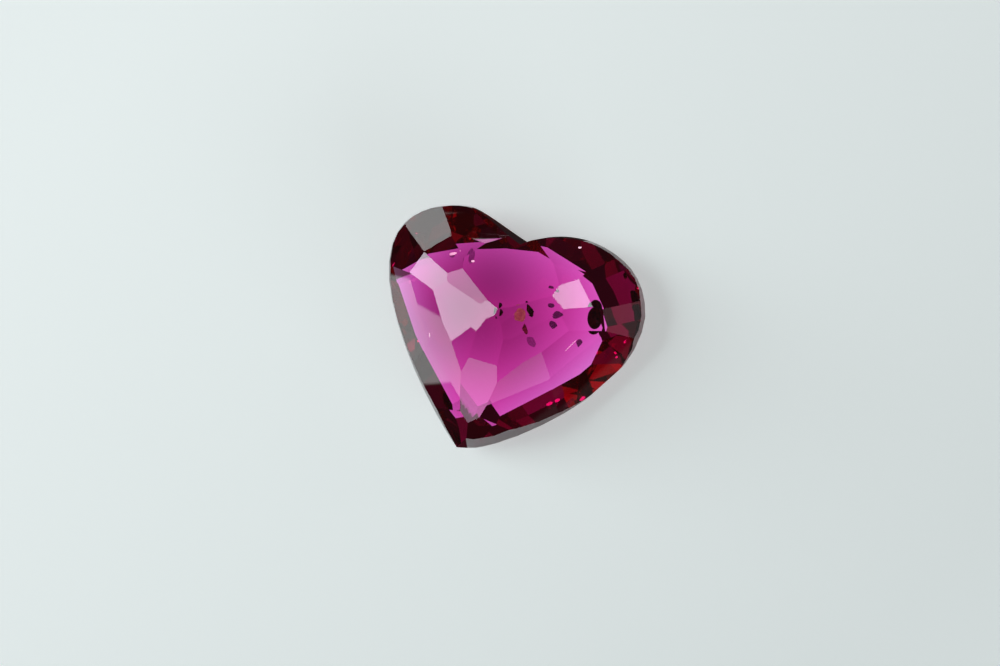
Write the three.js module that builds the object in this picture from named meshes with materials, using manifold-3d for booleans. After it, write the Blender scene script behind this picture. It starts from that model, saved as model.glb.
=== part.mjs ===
import * as THREE from "three";
import { mergeVertices } from "three/addons/utils/BufferGeometryUtils.js";
import Module from "manifold-3d";

// Heart-cut ruby, in millimetres, lying on its table with the apex of the pavilion up.
// +X is to the right lobe, +Y to the notch between the lobes, +Z up.
// While it is cut, the origin is on the table plane, straight under the apex.
const depth = 2.85;
const girdleLow = 0.5;       // height at which the outline is drawn
const girdleTaper = 0.07;    // how much of its width the girdle loses in each mm above that
const notchX = -0.07;
const notchY = 1.87;
const tipX = -0.27;
const tipY = -3.64;
const outlineSteps = 10;
const blockSide = 20;

// Each half of the heart from the point to the notch, as three curves.
// "side" and "top" are where the outline runs straight up and straight across.
const rightLobe = {
  side: [3.37, 0.53],
  top: [1.38, 2.38],
  tipHandle: [1.15, -3.27],
  flankHandle: [3.37, -1.0],
  shoulderHandle: [3.37, 1.96],
  crestHandle: [2.15, 2.38],
  innerHandle: [1.03, 2.38],
  notchHandle: [0.33, 2.26],
};
const leftLobe = {
  side: [-3.4, 0.87],
  top: [-1.69, 2.37],
  tipHandle: [-1.52, -2.64],
  flankHandle: [-3.4, -0.5],
  shoulderHandle: [-3.4, 2.03],
  crestHandle: [-2.14, 2.37],
  innerHandle: [-1.36, 2.37],
  notchHandle: [-0.57, 2.01],
};

// Pavilion facets, cut on both halves. azimuth is where the facet looks, from +X towards the notch,
// slope is its angle to the table, both in degrees, and rise is how far over the apex its plane
// crosses the stone's axis. rightRise is given where the right half is cut deeper than the left.
const pairedFacets = {
  apexSide: { azimuth: -3, slope: 13.5, rise: -0.02 },
  upperStar: { azimuth: 16, slope: 18.5, rise: 0.01 },
  middleStar: { azimuth: -19, slope: 22.5, rise: 0.06 },
  lowerStar: { azimuth: -26, slope: 29.5, rise: 0.2 },
  pointStar: { azimuth: -33, slope: 28.5, rise: 0.205 },
  sideKite: { azimuth: -1, slope: 37, rise: 0.63 },
  lobeKite: { azimuth: 39, slope: 35, rise: 0.51, rightRise: 0.5 },
  lowerKite: { azimuth: -30, slope: 47.5, rise: 1.0 },
  flankKite: { azimuth: -34, slope: 46.5, rise: 0.94 },
  notchKite: { azimuth: 70, slope: 39, rise: 0.475 },
  lobeGirdle: { azimuth: 40, slope: 41.5, rise: 0.935, rightRise: 0.88 },
  sideGirdle: { azimuth: 5, slope: 45.5, rise: 1.33 },
  cheekGirdle: { azimuth: -30.5, slope: 52, rise: 1.39 },
  flankGirdle: { azimuth: -36, slope: 50.5, rise: 1.28 },
  notchGirdle: { azimuth: 74, slope: 44, rise: 0.71 },
  tipGirdle: { azimuth: -58, slope: 60, rise: 3.35 },
};

// Pavilion facets on the heart's own axis, cut once.
const middleFacets = {
  apexNotch: { azimuth: 90, slope: 29.5, rise: -0.06 },
  apexPoint: { azimuth: -90, slope: 17, rise: 0.05 },
  pointKeel: { azimuth: -90, slope: 22.5, rise: 0.205 },
};

// Crown facets. reach is how far from the axis the facet meets the table, which lies off centre
// towards the left lobe.
const crownFacets = {
  tipCrown: { azimuth: -92, slope: 22, reach: 2.17 },
  rightFlankCrown: { azimuth: -50, slope: 22, reach: 1.6 },
  rightCheekCrown: { azimuth: -34, slope: 24, reach: 1.78 },
  rightSideCrown: { azimuth: 0, slope: 20, reach: 1.91 },
  rightLobeCrown: { azimuth: 42, slope: 20, reach: 1.66 },
  rightNotchCrown: { azimuth: 75, slope: 24, reach: 1.285 },
  notchCrown: { azimuth: 102, slope: 28, reach: 1.175 },
  leftNotchCrown: { azimuth: 111, slope: 26, reach: 1.21 },
  leftLobeCrown: { azimuth: 122, slope: 24, reach: 1.5 },
  leftSideCrown: { azimuth: 172, slope: 30, reach: 2.56 },
  leftCheekCrown: { azimuth: 220, slope: 30, reach: 1.8 },
  leftFlankCrown: { azimuth: 232, slope: 26, reach: 1.68 },
};

const rubyFinish = new THREE.MeshStandardMaterial({
  color: 0x9b1c5e,
  roughness: 0.04,
  metalness: 0,
});

const wasm = await Module();
wasm.setup();

// A closed geometry as a solid that can be cut.
function solidOf(geometry) {
  const bare = new THREE.BufferGeometry();
  bare.setAttribute("position", geometry.getAttribute("position"));
  if (geometry.index) bare.setIndex(geometry.index);
  const merged = mergeVertices(bare, 1e-5);
  return new wasm.Manifold(
    new wasm.Mesh({
      numProp: 3,
      vertProperties: new Float32Array(merged.attributes.position.array),
      triVerts: new Uint32Array(merged.index.array),
    }),
  );
}

// A solid back as a flat-shaded geometry.
function geometryOf(solid) {
  const mesh = solid.getMesh();
  const geometry = new THREE.BufferGeometry();
  geometry.setAttribute("position", new THREE.BufferAttribute(mesh.vertProperties, 3));
  geometry.setIndex(new THREE.BufferAttribute(mesh.triVerts, 1));
  const flat = geometry.toNonIndexed();
  flat.computeVertexNormals();
  return flat;
}

function halfOutline(shape, half, fromTip) {
  const tip = [tipX, tipY];
  const notch = [notchX, notchY];
  const curves = [
    [tip, half.tipHandle, half.flankHandle, half.side],
    [half.side, half.shoulderHandle, half.crestHandle, half.top],
    [half.top, half.innerHandle, half.notchHandle, notch],
  ];
  const ordered = fromTip ? curves : curves.reverse().map((curve) => curve.reverse());
  for (const [, first, second, end] of ordered) {
    shape.bezierCurveTo(...first, ...second, ...end);
  }
}

function heartOutline() {
  const outline = new THREE.Shape();
  outline.moveTo(tipX, tipY);
  halfOutline(outline, rightLobe, true);
  halfOutline(outline, leftLobe, false);
  return outline;
}

// A block that lies on a facet's plane and takes away all that is outside it.
function facetBlock(normal, onPlane) {
  const block = new THREE.BoxGeometry(blockSide, blockSide, blockSide);
  block.translate(0, 0, blockSide / 2);
  const turn = new THREE.Quaternion();
  turn.setFromUnitVectors(new THREE.Vector3(0, 0, 1), normal);
  block.applyQuaternion(turn);
  block.translate(onPlane.x, onPlane.y, onPlane.z);
  return solidOf(block);
}

// A direction that leans out from straight up, or down, by the slope.
function facetNormal(azimuth, slope, up) {
  const turn = THREE.MathUtils.degToRad(azimuth);
  const lean = THREE.MathUtils.degToRad(slope);
  return new THREE.Vector3(
    Math.sin(lean) * Math.cos(turn),
    Math.sin(lean) * Math.sin(turn),
    up * Math.cos(lean),
  );
}

function pavilionBlock({ azimuth, slope, rise }) {
  return facetBlock(facetNormal(azimuth, slope, 1), new THREE.Vector3(0, 0, depth + rise));
}

function crownBlock({ azimuth, slope, reach }) {
  const turn = THREE.MathUtils.degToRad(azimuth);
  const edge = new THREE.Vector3(reach * Math.cos(turn), reach * Math.sin(turn), 0);
  return facetBlock(facetNormal(azimuth, slope, -1), edge);
}

// The heart-shaped blank, widest at the girdle's lower line. Its wall stays as the girdle where no
// facet reaches it.
function heartBlank() {
  const blank = new THREE.ExtrudeGeometry(heartOutline(), {
    depth,
    bevelEnabled: false,
    curveSegments: outlineSteps,
  });
  const points = blank.getAttribute("position");
  for (let i = 0; i < points.count; i += 1) {
    const width = 1 - girdleTaper * (points.getZ(i) - girdleLow);
    points.setX(i, width * points.getX(i));
    points.setY(i, width * points.getY(i));
  }
  return blank;
}

function cutStone() {
  let stone = solidOf(heartBlank());
  for (const facet of Object.values(pairedFacets)) {
    const { azimuth, rise, rightRise = rise } = facet;
    stone = stone.subtract(pavilionBlock({ ...facet, rise: rightRise }));
    stone = stone.subtract(pavilionBlock({ ...facet, azimuth: 180 - azimuth }));
  }
  for (const facet of Object.values(middleFacets)) {
    stone = stone.subtract(pavilionBlock(facet));
  }
  for (const facet of Object.values(crownFacets)) {
    stone = stone.subtract(crownBlock(facet));
  }
  return geometryOf(stone);
}

const group = new THREE.Group();
const ruby = new THREE.Mesh(cutStone(), rubyFinish);
ruby.name = "heart_ruby";
ruby.geometry.computeBoundingBox();
const middle = ruby.geometry.boundingBox.getCenter(new THREE.Vector3());
ruby.position.set(-middle.x, -middle.y, -ruby.geometry.boundingBox.min.z);
group.add(ruby);

export default group;
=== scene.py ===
import math
import random

import bmesh
import bpy
from mathutils import Matrix, Vector
from mathutils.bvhtree import BVHTree


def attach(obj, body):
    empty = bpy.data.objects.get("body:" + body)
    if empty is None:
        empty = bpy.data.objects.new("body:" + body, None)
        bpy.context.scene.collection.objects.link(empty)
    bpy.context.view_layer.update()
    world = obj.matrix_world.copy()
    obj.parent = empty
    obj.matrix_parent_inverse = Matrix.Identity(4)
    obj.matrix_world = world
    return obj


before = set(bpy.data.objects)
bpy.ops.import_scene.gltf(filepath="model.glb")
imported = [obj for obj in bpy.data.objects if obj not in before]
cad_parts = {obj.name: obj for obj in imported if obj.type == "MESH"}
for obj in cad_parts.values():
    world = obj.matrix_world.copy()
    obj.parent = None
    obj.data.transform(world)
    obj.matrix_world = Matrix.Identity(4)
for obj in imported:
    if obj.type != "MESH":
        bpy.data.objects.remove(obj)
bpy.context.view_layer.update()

mm = 0.001


def linearColour(hexText, alpha=1.0):
    # an sRGB hex value as the linear numbers that a socket holds
    parts = [int(hexText[i:i + 2], 16) / 255 for i in (1, 3, 5)]
    linear = [c / 12.92 if c <= 0.04045 else ((c + 0.055) / 1.055) ** 2.4 for c in parts]
    return (*linear, alpha)


def addNode(tree, kind, settings=None, inputs=None):
    # one node, with its settings, its values and the links that come into it
    node = tree.nodes.new(kind)
    for name, value in (settings or {}).items():
        setattr(node, name, value)
    for name, value in (inputs or {}).items():
        if isinstance(value, bpy.types.NodeSocket):
            tree.links.new(value, node.inputs[name])
        else:
            node.inputs[name].default_value = value
    return node


def newMaterial(name):
    material = bpy.data.materials.new(name)
    material.use_nodes = True
    material.node_tree.nodes.clear()
    return material, material.node_tree


print("frame loaded")

# ---- the stone
ruby = {
    "ior": 1.765,               # corundum
    "polish": (0.008, 0.035),   # roughness of a facet lapped on a polishing wheel, best and worst
    "polishPatch": 0.5,         # mm across one patch of better or worse polish
    "patchSpread": (0.35, 0.7),  # the part of the pattern that goes from best to worst
    "wallNormalZ": (0.3, 0.35),  # a face steeper than this is the wall of the girdle
    "girdleRoughness": 0.42,    # the girdle is only ground, so it is frosted
    "girdleDust": 0.9,          # how strongly the ground girdle scatters light back
    "dustRoughness": 0.6,       # that scatter is broad, as from fine powder
    "absorbed": "#fc3cd6",      # what is left of white after a thin slice
    "absorbPerMetre": 1100.0,   # how deep the colour is
}


def polishedRuby():
    # ruby, cut and polished: clear and deep pink, glassy facets, ground girdle that looks frosted
    material, tree = newMaterial("ruby_cut_and_polished")
    where = addNode(tree, "ShaderNodeTexCoord")
    facing = addNode(tree, "ShaderNodeSeparateXYZ", inputs={0: where.outputs["Normal"]})
    steep = addNode(tree, "ShaderNodeMath", {"operation": "ABSOLUTE"}, {0: facing.outputs["Z"]})
    girdle = addNode(tree, "ShaderNodeMapRange", inputs={
        "Value": steep.outputs[0], "From Min": ruby["wallNormalZ"][0],
        "From Max": ruby["wallNormalZ"][1], "To Min": 1, "To Max": 0})
    # the walls of the notch face the heart's middle line, and they are polished
    spot = addNode(tree, "ShaderNodeSeparateXYZ", inputs={0: where.outputs["Object"]})
    outward = addNode(tree, "ShaderNodeMath", {"operation": "MULTIPLY"}, {
        0: facing.outputs["X"], 1: spot.outputs["X"]})
    outward = addNode(tree, "ShaderNodeMath", {"operation": "GREATER_THAN"}, {
        0: outward.outputs[0], 1: 0.0})
    ground = addNode(tree, "ShaderNodeMath", {"operation": "MULTIPLY"}, {
        0: girdle.outputs[0], 1: outward.outputs[0]})
    patches = addNode(tree, "ShaderNodeTexNoise", inputs={
        "Vector": where.outputs["Object"], "Scale": 1 / (ruby["polishPatch"] * mm), "Detail": 3})
    polish = addNode(tree, "ShaderNodeMapRange", inputs={
        "Value": patches.outputs["Fac"], "From Min": ruby["patchSpread"][0],
        "From Max": ruby["patchSpread"][1], "To Min": ruby["polish"][0],
        "To Max": ruby["polish"][1]})
    rough = addNode(tree, "ShaderNodeMix", inputs={
        "Factor": ground.outputs[0], "A": polish.outputs[0], "B": ruby["girdleRoughness"]})
    dust = addNode(tree, "ShaderNodeMath", {"operation": "MULTIPLY"}, {
        0: ground.outputs[0], 1: ruby["girdleDust"]})
    surface = addNode(tree, "ShaderNodeBsdfPrincipled", inputs={
        "Base Color": linearColour("#ffffff"), "Transmission Weight": 1.0, "IOR": ruby["ior"],
        "Roughness": rough.outputs[0], "Sheen Weight": dust.outputs[0],
        "Sheen Roughness": ruby["dustRoughness"]})
    absorb = addNode(tree, "ShaderNodeVolumeAbsorption", inputs={
        "Color": linearColour(ruby["absorbed"]), "Density": ruby["absorbPerMetre"]})
    addNode(tree, "ShaderNodeOutputMaterial", inputs={
        "Surface": surface.outputs[0], "Volume": absorb.outputs[0]})
    return material


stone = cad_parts["heart_ruby"]
stone.data.materials.clear()
stone.data.materials.append(polishedRuby())

print("stone finished")

# ---- mineral grains that grew inside the ruby
# at is the middle, half the half lengths, with the first one along the turn, and flats is how many
# broken faces. Lengths are in millimetres and the turn is in degrees.
grains = {
    "dark_plate": {"kind": "dark", "at": (2.01, 1.12, 1.0), "half": (0.29, 0.22, 0.16),
                   "turn": 107, "flats": 3, "seed": 4},
    "orange_grain": {"kind": "orange", "at": (0.5, 0.58, 2.3), "half": (0.21, 0.15, 0.13),
                     "turn": 100, "flats": 9, "seed": 5},
    "orange_tail": {"kind": "rust", "at": (0.66, 0.34, 2.05), "half": (0.15, 0.08, 0.08),
                    "turn": 120, "flats": 8, "seed": 6},
    "dark_needle": {"kind": "dark", "at": (0.72, 0.76, 2.25), "half": (0.17, 0.09, 0.08),
                    "turn": -40, "flats": 7, "seed": 7},
    "grain_a": {"kind": "purple", "at": (1.16, 1.04, 2.05), "half": (0.09, 0.07, 0.08),
                "turn": 20, "flats": 8, "seed": 8},
    "grain_b": {"kind": "purple", "at": (1.35, 0.87, 2.0), "half": (0.14, 0.075, 0.08),
                "turn": 15, "flats": 8, "seed": 9},
    "grain_c": {"kind": "purple", "at": (1.31, 0.64, 1.9), "half": (0.15, 0.09, 0.1),
                "turn": -30, "flats": 8, "seed": 10},
    "grain_d": {"kind": "purple", "at": (1.9, 0.47, 1.3), "half": (0.14, 0.1, 0.1),
                "turn": 100, "flats": 9, "seed": 11},
    "grain_e": {"kind": "purple", "at": (1.02, 1.33, 1.6), "half": (0.09, 0.06, 0.06),
                "turn": 0, "flats": 8, "seed": 12},
    "grain_f": {"kind": "lilac", "at": (0.86, 0.1, 1.8), "half": (0.2, 0.11, 0.1),
                "turn": 135, "flats": 8, "seed": 13},
    "grain_g": {"kind": "lilac", "at": (-1.13, 1.55, 1.7), "half": (0.22, 0.08, 0.09),
                "turn": 97, "flats": 8, "seed": 14},
    "grain_h": {"kind": "lilac", "at": (-1.5, 1.45, 1.6), "half": (0.08, 0.05, 0.05),
                "turn": 10, "flats": 8, "seed": 15},
    "grain_i": {"kind": "dark", "at": (0.0, 0.5, 2.1), "half": (0.1, 0.06, 0.06),
                "turn": 100, "flats": 8, "seed": 16},
    "speck_a": {"kind": "pale", "at": (-1.03, 1.49, 2.0), "half": (0.05, 0.03, 0.03),
                "turn": 30, "flats": 6, "seed": 17},
    "speck_b": {"kind": "pale", "at": (-1.49, 1.51, 1.5), "half": (0.1, 0.06, 0.05),
                "turn": 20, "flats": 6, "seed": 18},
    "speck_c": {"kind": "pale", "at": (-1.51, -0.44, 1.4), "half": (0.06, 0.025, 0.03),
                "turn": 105, "flats": 6, "seed": 19},
    "speck_d": {"kind": "pale", "at": (1.31, 2.65, 1.1), "half": (0.05, 0.03, 0.03),
                "turn": 20, "flats": 6, "seed": 20},
    "speck_e": {"kind": "pale", "at": (1.65, 0.4, 1.2), "half": (0.2, 0.015, 0.02),
                "turn": 62, "flats": 6, "seed": 21},
}
grainDetail = {
    "fleck": 0.08,              # mm across one fleck of the lower or higher colour
    "fleckSpread": (0.35, 0.65),    # the part of the pattern that goes from low to high
    "brokenAt": (0.48, 0.84),   # how far from its middle a broken face lies, 1 is the full size
    "facing": 0.05,             # a point that looks away from a broken face isn't moved by it
    "rounds": 3,                # how finely the lump is divided
}
grainFinishes = {
    # cover is how much it hides of what is behind it, and glow is painted light: an emission in
    # the grain's own colour, in place of light that passes through it or falls on it
    "dark": {"name": "rutile_grown_dark", "low": "#1c0505", "high": "#4a1814",
             "roughness": 0.3, "cover": 1.0, "glow": 0.12},
    "rust": {"name": "rutile_grown_rust_red", "low": "#6c1218", "high": "#98261c",
             "roughness": 0.4, "cover": 0.75, "glow": 0.2},
    "orange": {"name": "rutile_grown_thin_orange", "low": "#b84c58", "high": "#dc8074",
               "roughness": 0.5, "cover": 0.75, "glow": 0.35},
    "purple": {"name": "spinel_grown_dusky", "low": "#4c1048", "high": "#7c2c74",
               "roughness": 0.35, "cover": 0.68, "glow": 0.2},
    "lilac": {"name": "spinel_grown_faint", "low": "#6c1460", "high": "#94308c",
              "roughness": 0.4, "cover": 0.4, "glow": 0.25},
    "pale": {"name": "calcite_grown_pale", "low": "#ffd8ea", "high": "#ffffff",
             "roughness": 0.5, "cover": 0.9, "glow": 0.8},
}


def grownMineral(finish):
    # a small crystal grown in the ruby: uneven in colour, with dull natural faces and a painted
    # glow
    material, tree = newMaterial(finish["name"])
    where = addNode(tree, "ShaderNodeTexCoord")
    uneven = addNode(tree, "ShaderNodeTexNoise", inputs={
        "Vector": where.outputs["Object"], "Scale": 1 / (grainDetail["fleck"] * mm), "Detail": 4})
    spread = addNode(tree, "ShaderNodeMapRange", inputs={
        "Value": uneven.outputs["Fac"], "From Min": grainDetail["fleckSpread"][0],
        "From Max": grainDetail["fleckSpread"][1]})
    colour = addNode(tree, "ShaderNodeMix", {"data_type": "RGBA"}, {
        0: spread.outputs[0], 6: linearColour(finish["low"]), 7: linearColour(finish["high"])})
    # the emission is painted light, a glow in the grain's own colour
    surface = addNode(tree, "ShaderNodeBsdfPrincipled", inputs={
        "Base Color": colour.outputs[2], "Roughness": finish["roughness"],
        "Alpha": finish["cover"],
        "Emission Color": colour.outputs[2], "Emission Strength": finish["glow"]})
    addNode(tree, "ShaderNodeOutputMaterial", inputs={"Surface": surface.outputs[0]})
    return material


def grainForm(grain):
    # a lump with a few broken faces: each point is drawn in to the nearest of them
    draw = random.Random(grain["seed"])
    faces = []
    for _ in range(grain["flats"]):
        toward = Vector([draw.gauss(0, 1) for _ in range(3)]).normalized()
        faces.append((toward, draw.uniform(*grainDetail["brokenAt"])))
    form = bmesh.new()
    bmesh.ops.create_icosphere(form, subdivisions=grainDetail["rounds"], radius=1)
    for vert in form.verts:
        way = vert.co.normalized()
        facing = [(way.dot(toward), far) for toward, far in faces]
        reach = [far / dot for dot, far in facing if dot > grainDetail["facing"]]
        vert.co = way * min([1.0, *reach])
    turn = Matrix.Rotation(math.radians(grain["turn"]), 4, "Z")
    size = Matrix.Diagonal((*(Vector(grain["half"]) * mm), 1))
    place = Matrix.Translation(Vector(grain["at"]) * mm)
    bmesh.ops.transform(form, matrix=place @ turn @ size, verts=form.verts)
    return form


def makeGrain(name, grain, material):
    # a grain rides with the stone that it is sealed in
    form = grainForm(grain)
    mesh = bpy.data.meshes.new(name)
    form.to_mesh(mesh)
    form.free()
    piece = bpy.data.objects.new(name, mesh)
    bpy.context.scene.collection.objects.link(piece)
    mesh.materials.append(material)
    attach(piece, "root")


finishes = {kind: grownMineral(finish) for kind, finish in grainFinishes.items()}
for name, grain in grains.items():
    makeGrain(name, grain, finishes[grain["kind"]])
print(len(grains), "grains grown")

# ---- floor, light and camera
floor = {                       # a matt sheet, lit from under
    "size": 0.9,                # m
    "gap": 0.02 * mm,           # just under the table facet
    "colour": "#e6ebea",
    "roughness": 0.9,
    "glow": 0.545,
    "fallOff": 0.135,           # the share by which the glow changes across the sheet, each way
    "fallOffToward": (0.88, -0.47, 0),   # to where it gets darker
    "fallOffReach": 12.0,       # mm from the stone to where it has changed that much
    "gridReach": 4.0,           # mm, the fine part of the sheet
    "gridStep": 0.025,          # mm
    "shadeInset": 0.15,         # mm from the stone's outline to where its shade starts
    "tableBelow": 0.04 * mm,    # the stone's underside up to here counts as its table
    "crownShade": 0.2,          # painted shade: the glow left where the stone's crown keeps the light off
    "deepRay": 2.5,             # bounces, above which the stone has turned the light on its way and the floor gets painted shade
    "deepShare": (0.22, 0.05),  # the share of the glow left by that painted shade, on each side
    "deepReach": 4.0,           # mm from the stone's middle to where each share is reached
}
tableGlow = {                   # painted light: a brighter, tinted glow on the sheet under the table facet, with a soft painted shade in it
    "colour": "#e2ceff",
    "strength": 1.11,
    "shadeAt": (-0.58, 0.65),   # mm, the middle of the soft painted shade there
    "shadeRadius": 2.5,         # mm
    "shadeDepth": 0.58,         # the share of the glow that is missing at its middle
}
paintedReflections = {                    # painted reflections: bright patches on the sheet that only the polished facets mirror, in mm and degrees
    "base": 0.02,
    "patches": [
        {"at": (-9.4, -4.7), "turn": 213, "reach": (6.6, 1.6), "soft": 0.08, "glow": 1.7},
        {"at": (-31.0, 23.4), "turn": 143, "reach": (22.0, 9.0), "soft": 0.08, "glow": 2.5},
        {"at": (-17.8, 41.4), "turn": 113, "reach": (16.0, 5.0), "soft": 0.04, "glow": 1.8},
        {"at": (14.0, -11.0), "turn": 321.5, "reach": (5.5, 2.2), "soft": 0.6, "glow": 0.12},
        {"at": (7.5, -3.4), "turn": 328, "reach": (3.2, 1.8), "soft": 0.6, "glow": 0.12},
    ],
}
sky = {
    "colour": "#dfe6e8",
    "strength": 0.03,           # dim, so that the stone's rim stays dark
    "backdrop": 0.62,           # behind the floor, where the camera looks past its edge
    "gleam": 0.65,              # a lit side of the room, seen only through the stone
    "gleamAzimuth": 2,          # degrees from +X towards +Y
    "gleamReach": 26,           # degrees to each side
}
# azimuth and elevation in degrees, width and height in metres, and glow is how bright it looks
softboxes = {
    "main": {"azimuth": 186, "elevation": 31, "width": 0.128, "height": 0.24, "glow": 4.2},
    "side": {"azimuth": 161, "elevation": 44, "width": 0.03, "height": 0.05, "glow": 2.4},
    "right": {"azimuth": 47.5, "elevation": 25, "width": 0.024, "height": 0.024, "glow": 4.0},
    "front": {"azimuth": 257.5, "elevation": 46, "width": 0.03, "height": 0.03, "glow": 1.3},
    "low": {"azimuth": 324, "elevation": 6, "width": 0.03, "height": 0.02, "glow": 0.6},
    "rim": {"azimuth": 8.8, "elevation": 7.2, "width": 0.02, "height": 0.02, "glow": 0.25},
    "fill": {"azimuth": 325, "elevation": 16, "width": 0.2, "height": 0.06, "glow": 5.0},
}
softboxDistance = 0.25          # m
softboxColour = "#eef8fa"
camera = {
    "lens": 300,
    "pictureWidth": 1000,       # pixels
    "pixelsPerMm": 40,
    "clip": (0.005, 2.0),       # m
    "tiltFromAbove": 9,         # degrees off straight down
    "azimuth": -20,             # where it leans to, from +X towards +Y
    "roll": 16.6,               # the picture's right, from +X towards +Y
    "aim": (0.254, -0.013, 2.72),   # mm, what the middle of the picture shows
}
bounces = {"max_bounces": 32, "glossy_bounces": 24, "transmission_bounces": 24}


def paintedReflectionPatch(tree, where, patch):
    # the painted reflection's glow inside a turned rectangle on the sheet, 0 outside it
    within = addNode(tree, "ShaderNodeMapping", {"vector_type": "TEXTURE"}, {
        "Vector": where, "Location": Vector((*patch["at"], 0)) * mm,
        "Rotation": (0, 0, math.radians(patch["turn"])),
        "Scale": (patch["reach"][0] * mm, patch["reach"][1] * mm, 1)})
    out = addNode(tree, "ShaderNodeVectorMath", {"operation": "ABSOLUTE"}, {0: within.outputs[0]})
    out = addNode(tree, "ShaderNodeSeparateXYZ", inputs={0: out.outputs[0]})
    out = addNode(tree, "ShaderNodeMath", {"operation": "MAXIMUM"}, {
        0: out.outputs["X"], 1: out.outputs["Y"]})
    return addNode(tree, "ShaderNodeMapRange", {"interpolation_type": "SMOOTHSTEP"}, {
        "Value": out.outputs[0], "From Min": 1 - patch["soft"], "From Max": 1,
        "To Min": patch["glow"], "To Max": 0})


def litSheet(tree, where, across, path):
    # the camera sees an open sheet, and the light that the stone bends sees what the stone covers,
    # with painted shade under the crown and a painted, tinted glow with a soft painted shade under
    # the table
    reach = floor["fallOffReach"] * mm
    openGlow = addNode(tree, "ShaderNodeMapRange", inputs={
        "Value": across, "From Min": -reach, "From Max": reach,
        "To Min": floor["glow"] * (1 + floor["fallOff"]),
        "To Max": floor["glow"] * (1 - floor["fallOff"])})
    openSheet = addNode(tree, "ShaderNodeBsdfPrincipled", inputs={
        "Base Color": linearColour(floor["colour"]), "Roughness": floor["roughness"],
        "Emission Color": linearColour(floor["colour"]), "Emission Strength": openGlow.outputs[0]})
    cover = addNode(tree, "ShaderNodeAttribute", {"attribute_name": "cover"})
    cover = addNode(tree, "ShaderNodeSeparateColor", inputs={0: cover.outputs["Color"]})
    through = addNode(tree, "ShaderNodeMath", {"operation": "SUBTRACT"}, {
        0: 1.0, 1: path.outputs["Is Camera Ray"]})
    crown = addNode(tree, "ShaderNodeMath", {"operation": "MULTIPLY"}, {
        0: cover.outputs["Red"], 1: through.outputs[0]})
    table = addNode(tree, "ShaderNodeMath", {"operation": "MULTIPLY"}, {
        0: cover.outputs["Green"], 1: through.outputs[0]})
    # painted shade: a dim glow under the crown, for light that comes through the stone
    shaded = addNode(tree, "ShaderNodeEmission", inputs={
        "Color": linearColour(floor["colour"]), "Strength": floor["crownShade"]})
    sheet = addNode(tree, "ShaderNodeMixShader", inputs={
        0: crown.outputs[0], 1: openSheet.outputs[0], 2: shaded.outputs[0]})
    # painted light and shade under the table: a tinted glow, darker at a soft spot
    middle = Vector((*tableGlow["shadeAt"], 0)) * mm
    away = addNode(tree, "ShaderNodeVectorMath", {"operation": "DISTANCE"}, {0: where, 1: middle})
    shade = addNode(tree, "ShaderNodeMapRange", {"interpolation_type": "SMOOTHSTEP"}, {
        "Value": away.outputs["Value"], "From Min": 0, "From Max": tableGlow["shadeRadius"] * mm,
        "To Min": tableGlow["strength"] * (1 - tableGlow["shadeDepth"]),
        "To Max": tableGlow["strength"]})
    under = addNode(tree, "ShaderNodeEmission", inputs={
        "Color": linearColour(tableGlow["colour"]), "Strength": shade.outputs[0]})
    return addNode(tree, "ShaderNodeMixShader", inputs={
        0: table.outputs[0], 1: sheet.outputs[0], 2: under.outputs[0]})


def paintedReflectionSheet(tree, where):
    # a polished facet mirrors a nearly dark sheet with the bright painted reflections on it
    total = paintedReflections["base"]
    for patch in paintedReflections["patches"]:
        total = addNode(tree, "ShaderNodeMath", {"operation": "ADD"}, {
            0: paintedReflectionPatch(tree, where, patch).outputs[0], 1: total}).outputs[0]
    return addNode(tree, "ShaderNodeEmission", inputs={
        "Color": linearColour(floor["colour"]), "Strength": total})


def paintedDeepShade(tree, across, path):
    # painted shade: how much of the floor's glow is taken away for light that the stone has turned
    # several times, 0 for other light
    deep = addNode(tree, "ShaderNodeMath", {"operation": "GREATER_THAN"}, {
        0: path.outputs["Ray Depth"], 1: floor["deepRay"]})
    reach = floor["deepReach"] * mm
    lost = addNode(tree, "ShaderNodeMapRange", inputs={
        "Value": across, "From Min": -reach, "From Max": reach,
        "To Min": 1 - floor["deepShare"][0], "To Max": 1 - floor["deepShare"][1]})
    return addNode(tree, "ShaderNodeMath", {"operation": "MULTIPLY"}, {
        0: deep.outputs[0], 1: lost.outputs[0]})


def paleFloor():
    # matt acrylic sheet, lit from under: pale, a little darker to one side, with painted shade
    # under the stone and painted reflections
    material, tree = newMaterial("acrylic_matt_white")
    where = addNode(tree, "ShaderNodeTexCoord").outputs["Object"]
    across = addNode(tree, "ShaderNodeVectorMath", {"operation": "DOT_PRODUCT"}, {
        0: where, 1: floor["fallOffToward"]}).outputs["Value"]
    path = addNode(tree, "ShaderNodeLightPath")
    # painted shade: a black glow mixed in for light that the stone turned several times
    dark = addNode(tree, "ShaderNodeEmission", inputs={"Strength": 0})
    seen = addNode(tree, "ShaderNodeMixShader", inputs={
        0: paintedDeepShade(tree, across, path).outputs[0],
        1: litSheet(tree, where, across, path).outputs[0], 2: dark.outputs[0]})
    # in sharp reflections the sheet shows only the painted reflections
    sharp = addNode(tree, "ShaderNodeMath", {"operation": "MULTIPLY"}, {
        0: path.outputs["Is Reflection Ray"], 1: path.outputs["Is Glossy Ray"]})
    both = addNode(tree, "ShaderNodeMixShader", inputs={
        0: sharp.outputs[0], 1: seen.outputs[0], 2: paintedReflectionSheet(tree, where).outputs[0]})
    addNode(tree, "ShaderNodeOutputMaterial", inputs={"Surface": both.outputs[0]})
    return material


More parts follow.
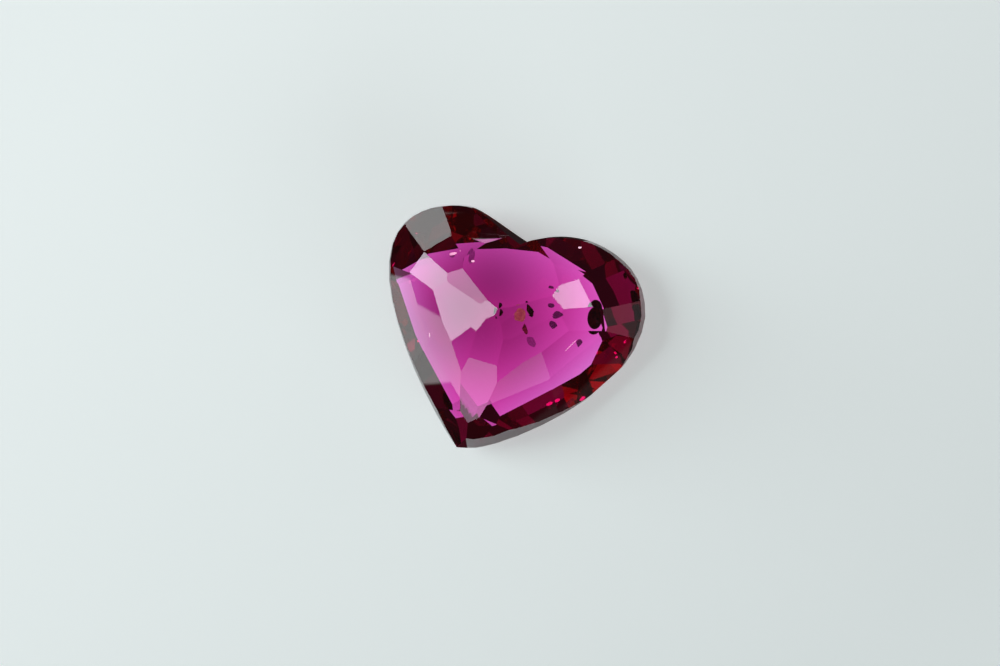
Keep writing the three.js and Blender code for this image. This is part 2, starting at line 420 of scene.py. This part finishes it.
def stoneCover(x, y, solid):
    # (1, 0) under the crown, (0, 1) under the table facet, (0, 0) in the open: where the painted
    # shade and glow go
    inset = floor["shadeInset"] * mm
    up = Vector((0, 0, 1))
    if max(abs(x), abs(y)) > floor["gridReach"] * mm:
        return 0, 0
    for dx, dy in ((inset, 0), (-inset, 0), (0, inset), (0, -inset)):
        if solid.ray_cast(Vector((x + dx, y + dy, -mm)), up)[0] is None:
            return 0, 0
    hit = solid.ray_cast(Vector((x, y, -mm)), up)[0]
    onTable = hit is not None and hit.z < floor["tableBelow"]
    return (0, 1) if onTable else (1, 0)


def makeFloor():
    # a sheet with a fine grid under the stone, which holds what the stone covers
    steps = round(2 * floor["gridReach"] / floor["gridStep"])
    inner = [(i * floor["gridStep"] - floor["gridReach"]) * mm for i in range(steps + 1)]
    lines = [-floor["size"] / 2, *inner, floor["size"] / 2]
    count = len(lines)
    points = [(x, y, -floor["gap"]) for y in lines for x in lines]
    corner = [j * count + i for j in range(count - 1) for i in range(count - 1)]
    mesh = bpy.data.meshes.new("floor")
    mesh.from_pydata(points, [], [(k, k + 1, k + count + 1, k + count) for k in corner])
    form = bmesh.new()
    form.from_mesh(stone.data)
    solid = BVHTree.FromBMesh(form)
    form.free()
    cover = mesh.attributes.new("cover", "FLOAT_COLOR", "POINT")
    for point, (x, y, _) in zip(cover.data, points):
        point.color = (*stoneCover(x, y, solid), 0, 1)
    sheet = bpy.data.objects.new("floor", mesh)
    bpy.context.scene.collection.objects.link(sheet)
    sheet.data.materials.append(paleFloor())


def fromAngles(azimuth, elevation):
    # a direction, turned from +X towards +Y and then raised, in degrees
    a, e = math.radians(azimuth), math.radians(elevation)
    return Vector((math.cos(e) * math.cos(a), math.cos(e) * math.sin(a), math.sin(e)))


def makeSoftbox(name, box):
    light = bpy.data.lights.new(name, "AREA")
    light.shape = "RECTANGLE"
    light.size, light.size_y = box["width"], box["height"]
    light.color = linearColour(softboxColour)[:3]
    light.energy = box["glow"] * math.pi * box["width"] * box["height"]
    lamp = bpy.data.objects.new(name, light)
    bpy.context.scene.collection.objects.link(lamp)
    toward = fromAngles(box["azimuth"], box["elevation"])
    lamp.location = toward * softboxDistance
    lamp.visible_transmission = False       # lights the facets, and isn't seen through the stone
    lamp.visible_camera = False
    lamp.rotation_euler = toward.to_track_quat("Z", "Y").to_euler()


def makeCamera():
    # it looks down on the stone from far off, so that near and far parts keep one scale
    data = bpy.data.cameras.new("camera")
    data.lens = camera["lens"]
    data.clip_start, data.clip_end = camera["clip"]
    eye = bpy.data.objects.new("camera", data)
    bpy.context.scene.collection.objects.link(eye)
    back = fromAngles(camera["azimuth"], 90 - camera["tiltFromAbove"])
    right = fromAngles(camera["roll"], 0)
    right = (right - back * right.dot(back)).normalized()
    up = back.cross(right)
    frameWidth = camera["pictureWidth"] / camera["pixelsPerMm"] * mm
    distance = frameWidth * data.lens / data.sensor_width
    turn = Matrix((right, up, back)).transposed().to_4x4()
    eye.matrix_world = Matrix.Translation(Vector(camera["aim"]) * mm + back * distance) @ turn
    bpy.context.scene.camera = eye


def makeSky():
    # nearly dark for the stone but for one lit side, and pale where the camera sees it
    world = bpy.data.worlds.new("sky")
    world.use_nodes = True
    world.node_tree.nodes.clear()
    tree = world.node_tree
    way = addNode(tree, "ShaderNodeTexCoord").outputs["Generated"]
    way = addNode(tree, "ShaderNodeVectorRotate", {"rotation_type": "Z_AXIS"}, {
        "Vector": way, "Angle": math.radians(-sky["gleamAzimuth"])})
    way = addNode(tree, "ShaderNodeSeparateXYZ", inputs={0: way.outputs[0]})
    turn = addNode(tree, "ShaderNodeMath", {"operation": "ARCTAN2"}, {
        0: way.outputs["Y"], 1: way.outputs["X"]})
    turn = addNode(tree, "ShaderNodeMath", {"operation": "ABSOLUTE"}, {0: turn.outputs[0]})
    gleam = addNode(tree, "ShaderNodeMapRange", {"interpolation_type": "SMOOTHSTEP"}, {
        "Value": turn.outputs[0], "From Min": 0, "From Max": math.radians(sky["gleamReach"]),
        "To Min": sky["gleam"], "To Max": 0})
    path = addNode(tree, "ShaderNodeLightPath")
    gleam = addNode(tree, "ShaderNodeMath", {"operation": "MULTIPLY"}, {
        0: gleam.outputs[0], 1: path.outputs["Is Transmission Ray"]})
    strength = addNode(tree, "ShaderNodeMapRange", inputs={
        "Value": path.outputs["Is Camera Ray"],
        "To Min": sky["strength"], "To Max": sky["backdrop"]})
    strength = addNode(tree, "ShaderNodeMath", {"operation": "ADD"}, {
        0: strength.outputs[0], 1: gleam.outputs[0]})
    light = addNode(tree, "ShaderNodeBackground", inputs={
        "Color": linearColour(sky["colour"]), "Strength": strength.outputs[0]})
    addNode(tree, "ShaderNodeOutputWorld", inputs={"Surface": light.outputs[0]})
    bpy.context.scene.world = world


makeFloor()
for name, box in softboxes.items():
    makeSoftbox(name + "_softbox", box)
makeCamera()
makeSky()
scene = bpy.context.scene
scene.view_settings.view_transform = "Standard"
for name, count in bounces.items():     # light turns many times inside a cut stone
    setattr(scene.cycles, name, count)
print("floor, lights and camera placed")
